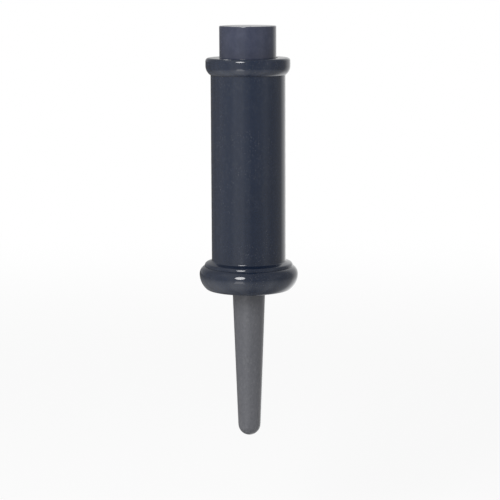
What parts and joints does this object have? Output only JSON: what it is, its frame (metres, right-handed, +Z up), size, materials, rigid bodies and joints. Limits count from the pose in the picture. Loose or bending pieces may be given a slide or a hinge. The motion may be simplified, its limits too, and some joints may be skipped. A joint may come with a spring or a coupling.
{
  "type": "gas cartridge wine opener",
  "caption": "Press-top wine opener: pressing the gas cartridge in its black barrel sends gas through a hollow needle under a grey guard and pushes the cork out.",
  "frame": {"origin": "on the opener's axis where the collar's underside meets the barrel, the level at which a holder carries the opener", "axes": "+Z up along the opener's axis, towards the press cap; the needle points along -Z"},
  "size_m": [0.0614, 0.0614, 0.2569],
  "materials": {
    "gloss_black": "polished moulding",
    "guard_grey": "satin moulding",
    "can_aluminium": "drawn",
    "black_rubber": "moulded",
    "white_acetal": "moulded",
    "steel": "ground",
    "brass": "turned"
  },
  "bodies": {
    "housing": {"barrel": "gloss_black", "collar": "gloss_black", "base_flange": "gloss_black", "needle_hub": "brass", "hub_seal": "black_rubber", "hub_washer": "steel", "hub_nut": "steel", "stem_seal": "black_rubber", "guard_ring": "black_rubber", "needle": "steel", "needle_point": "steel"},
    "valve_stem": {"valve_stem": "white_acetal"},
    "cartridge": {"press_cap": "gloss_black", "cartridge_can": "can_aluminium", "valve_cup": "can_aluminium", "cup_gasket": "black_rubber", "valve_housing": "white_acetal", "stem_gasket": "black_rubber", "valve_spring": "steel"},
    "guard": {"needle_guard": "guard_grey"}
  },
  "joints": [
    {"name": "cartridge_lift", "type": "slide", "parent": "housing", "child": "valve_stem", "axis": [0, 0, 1], "range_m": [0, 0.125]},
    {"name": "cartridge_press", "type": "slide", "parent": "valve_stem", "child": "cartridge", "axis": [0, 0, -1], "range_m": [0, 0.003], "stiffness_N_per_m": 1500, "springref_m": -0.004, "deforming": ["valve_spring"]},
    {"name": "guard_pull", "type": "slide", "parent": "housing", "child": "guard", "axis": [0, 0, -1], "range_m": [0, 0.1]}
  ]
}
